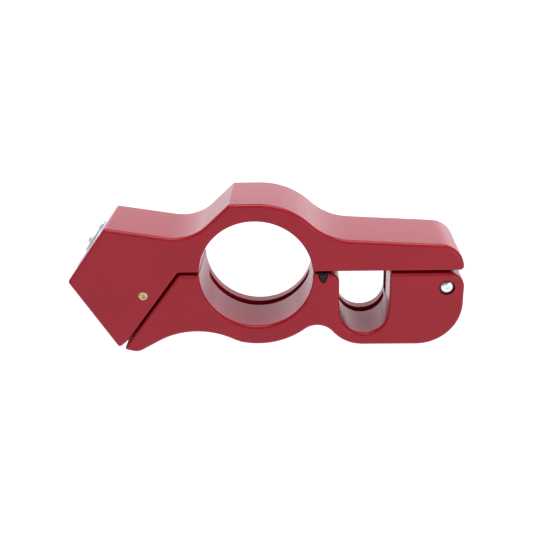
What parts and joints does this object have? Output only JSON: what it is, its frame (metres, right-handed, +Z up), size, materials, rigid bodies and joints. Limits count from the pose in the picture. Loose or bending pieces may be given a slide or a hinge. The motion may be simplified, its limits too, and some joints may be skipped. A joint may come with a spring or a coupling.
{
  "type": "handlebar grip lock",
  "caption": "Hinged two-arm clamp lock of milled metal with a round grip bore, a U-shaped lever slot and a keyed cylinder that throws a bolt across the joint.",
  "frame": {"origin": "centre of the grip bore, at the middle of the lock's thickness", "axes": "+Y along the grip bore, away from the front face; +X along the lock towards the hinge; +Z up, from the lower arm to the upper arm"},
  "size_m": [0.122, 0.0226, 0.0496],
  "materials": {
    "red_coat": "glossy red coating over milled aluminium",
    "chrome_plate": "bright satin plate",
    "pin_steel": "ground bright steel",
    "hard_steel": "hardened ground steel",
    "spring_steel": "drawn wire",
    "brass": "turned brass",
    "black_rubber": "matt moulded rubber"
  },
  "bodies": {
    "lower_body": {"lower_arm": "red_coat", "hinge_pin": "pin_steel", "bolt_keeper": "hard_steel", "rubber_bumper": "black_rubber"},
    "upper_body": {"upper_arm": "red_coat", "lock_housing": "chrome_plate", "retaining_pin": "brass", "housing_seal": "black_rubber", "driver_pins": "hard_steel", "pin_springs": "spring_steel", "chamber_cap": "brass", "cover_rivet": "pin_steel"},
    "plug_body": {"lock_plug": "chrome_plate", "key_pins": "brass", "plug_clip": "spring_steel", "tail_cam": "hard_steel", "cam_screw": "hard_steel"},
    "bolt_body": {"bolt": "hard_steel", "drive_pin": "hard_steel"},
    "cover_body": {"dust_cover": "chrome_plate"}
  },
  "joints": [
    {"name": "arm_hinge", "type": "hinge", "parent": "lower_body", "child": "upper_body", "pos_m": [0.05835, 0, -0.0046], "axis": [0, 1, 0], "range_deg": [0, 90]},
    {"name": "key_turn", "type": "hinge", "parent": "upper_body", "child": "plug_body", "pos_m": [-0.0519, 0, 0.00732], "axis": [-0.7986, 0, 0.6018], "range_deg": [0, 90]},
    {"name": "bolt_slide", "type": "slide", "parent": "upper_body", "child": "bolt_body", "axis": [0.7986, 0, -0.6018], "range_m": [0, 0.004]},
    {"name": "cover_swing", "type": "hinge", "parent": "upper_body", "child": "cover_body", "pos_m": [-0.04805, 0, 0.01243], "axis": [-0.7986, 0, 0.6018], "range_deg": [0, 80]}
  ],
  "couplings": [
    {"joint": "key_turn", "follows": "bolt_slide", "rad_per_m": 392.69}
  ]
}
